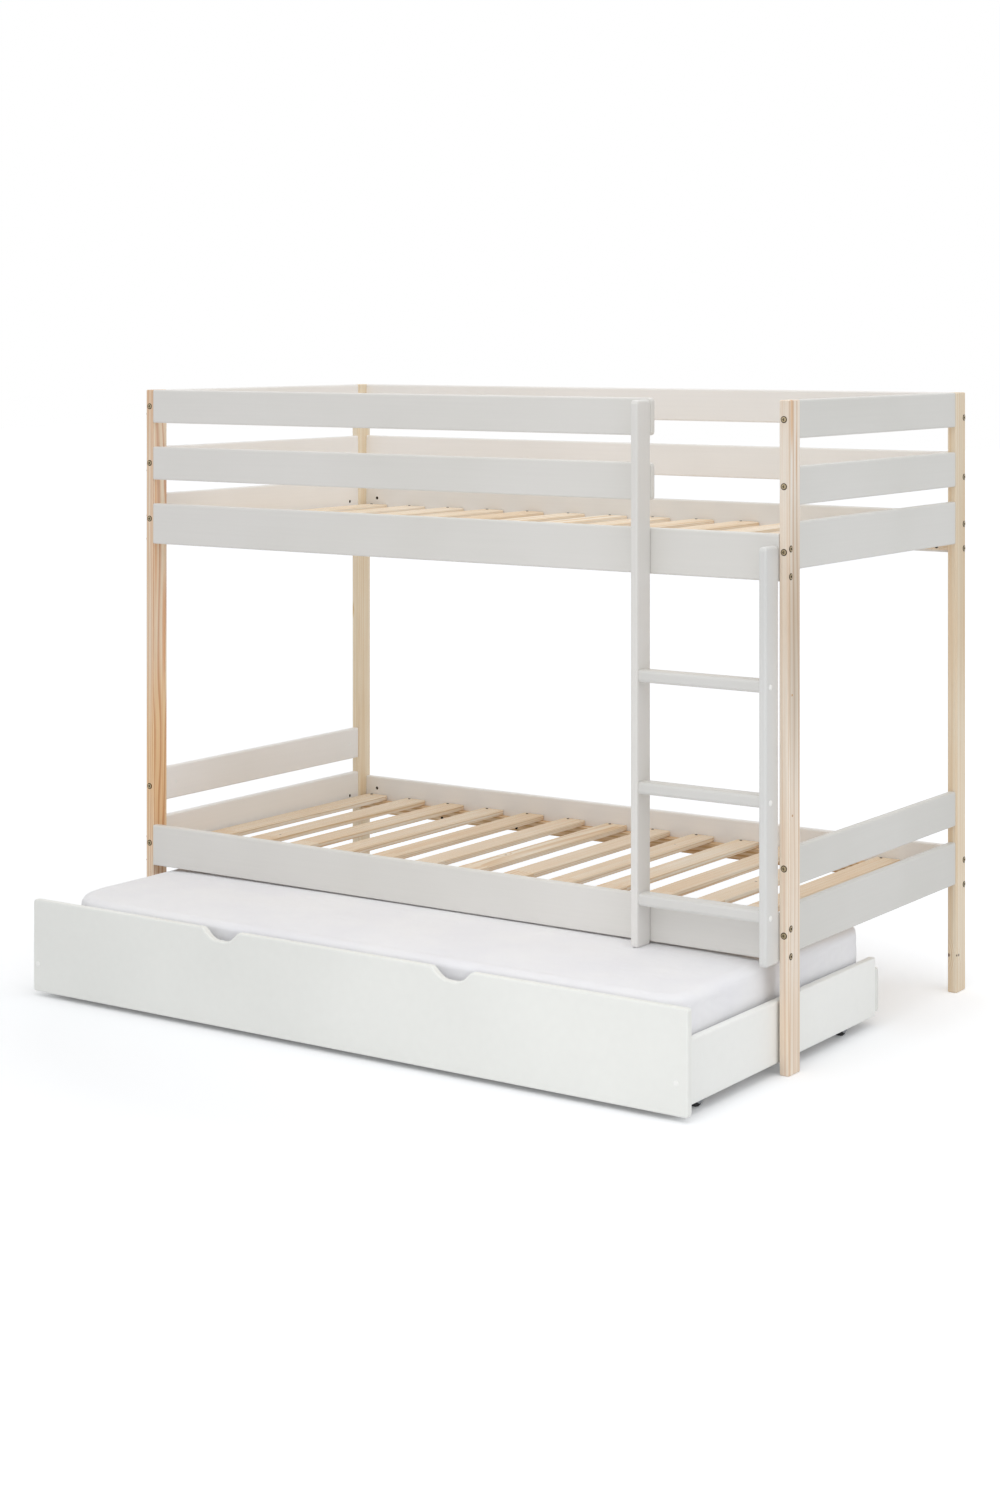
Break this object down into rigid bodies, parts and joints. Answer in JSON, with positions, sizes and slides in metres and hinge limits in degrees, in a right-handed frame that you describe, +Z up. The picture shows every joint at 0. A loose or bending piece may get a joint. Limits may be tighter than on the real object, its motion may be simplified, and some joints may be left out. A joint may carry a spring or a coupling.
{
  "type": "bunk bed",
  "caption": "Pine bunk bed with white painted guard and bunk rails, slatted bases, a fixed ladder at one end of its front, and a guest bed on casters that pulls out from underneath.",
  "frame": {"origin": "on the floor, under the middle of the bounding box with the guest bed pulled part-way out as in the picture", "axes": "+X along the bed towards the ladder end, +Y from its front to its back, +Z up"},
  "size_m": [1.98, 1.424, 1.562],
  "materials": {
    "pine": "bare planed pine with a clear matt coat",
    "white_paint": "white satin lacquer on pine",
    "cotton_sheet": "white cotton fitted sheet over foam",
    "black_nylon": "moulded black nylon",
    "zinc_steel": "zinc plated pressed steel"
  },
  "bodies": {
    "bed_frame": {"post_front_left": "pine", "post_back_left": "pine", "post_front_right": "pine", "post_back_right": "pine", "rail_front_top_guard": "white_paint", "rail_front_low_guard": "white_paint", "rail_front_upper_bunk": "white_paint", "rail_front_lower_bunk": "white_paint", "rail_back_top_guard": "white_paint", "rail_back_low_guard": "white_paint", "rail_back_upper_bunk": "white_paint", "rail_back_lower_bunk": "white_paint", "end_left_top_guard": "white_paint", "end_left_low_guard": "white_paint", "end_left_upper_bunk": "white_paint", "end_left_head_board": "white_paint", "end_left_lower_bunk": "white_paint", "end_right_top_guard": "white_paint", "end_right_low_guard": "white_paint", "end_right_upper_bunk": "white_paint", "end_right_head_board": "white_paint", "end_right_lower_bunk": "white_paint", "ledger_front": "pine", "ledger_back": "pine", "slat_lower_01": "pine", "slat_lower_02": "pine", "slat_lower_03": "pine", "slat_lower_04": "pine", "slat_lower_05": "pine", "slat_lower_06": "pine", "slat_lower_07": "pine", "slat_lower_08": "pine", "slat_lower_09": "pine", "slat_lower_10": "pine", "slat_lower_11": "pine", "slat_lower_12": "pine", "slat_lower_13": "pine", "slat_lower_14": "pine", "upper_slat_base": "pine", "ladder_stile_left": "white_paint", "ladder_stile_right": "white_paint", "ladder_rung_1": "white_paint", "ladder_rung_2": "white_paint", "ladder_rung_3": "white_paint"},
    "trundle": {"trundle_front_panel": "white_paint", "trundle_back_panel": "white_paint", "trundle_side_left": "white_paint", "trundle_side_right": "white_paint", "trundle_slat_base": "pine", "trundle_mattress": "cotton_sheet", "caster_bracket_front_left": "zinc_steel", "caster_bracket_back_left": "zinc_steel", "caster_bracket_front_right": "zinc_steel", "caster_bracket_back_right": "zinc_steel"},
    "wheel_front_left": {"caster_wheel_front_left": "black_nylon"},
    "wheel_back_left": {"caster_wheel_back_left": "black_nylon"},
    "wheel_front_right": {"caster_wheel_front_right": "black_nylon"},
    "wheel_back_right": {"caster_wheel_back_right": "black_nylon"}
  },
  "joints": [
    {"name": "trundle_slide", "type": "slide", "parent": "bed_frame", "child": "trundle", "axis": [0, -1, 0], "range_m": [-0.422, 0.6]},
    {"name": "wheel_front_left_turn", "type": "hinge", "parent": "trundle", "child": "wheel_front_left", "pos_m": [-0.92375, -0.585, 0.025], "axis": [1, 0, 0], "continuous": true},
    {"name": "wheel_back_left_turn", "type": "hinge", "parent": "trundle", "child": "wheel_back_left", "pos_m": [-0.92375, 0.12, 0.025], "axis": [1, 0, 0], "continuous": true},
    {"name": "wheel_front_right_turn", "type": "hinge", "parent": "trundle", "child": "wheel_front_right", "pos_m": [0.92375, -0.585, 0.025], "axis": [1, 0, 0], "continuous": true},
    {"name": "wheel_back_right_turn", "type": "hinge", "parent": "trundle", "child": "wheel_back_right", "pos_m": [0.92375, 0.12, 0.025], "axis": [1, 0, 0], "continuous": true}
  ],
  "couplings": [
    {"joint": "wheel_front_left_turn", "follows": "trundle_slide", "rad_per_m": 40},
    {"joint": "wheel_back_left_turn", "follows": "trundle_slide", "rad_per_m": 40},
    {"joint": "wheel_front_right_turn", "follows": "trundle_slide", "rad_per_m": 40},
    {"joint": "wheel_back_right_turn", "follows": "trundle_slide", "rad_per_m": 40}
  ]
}
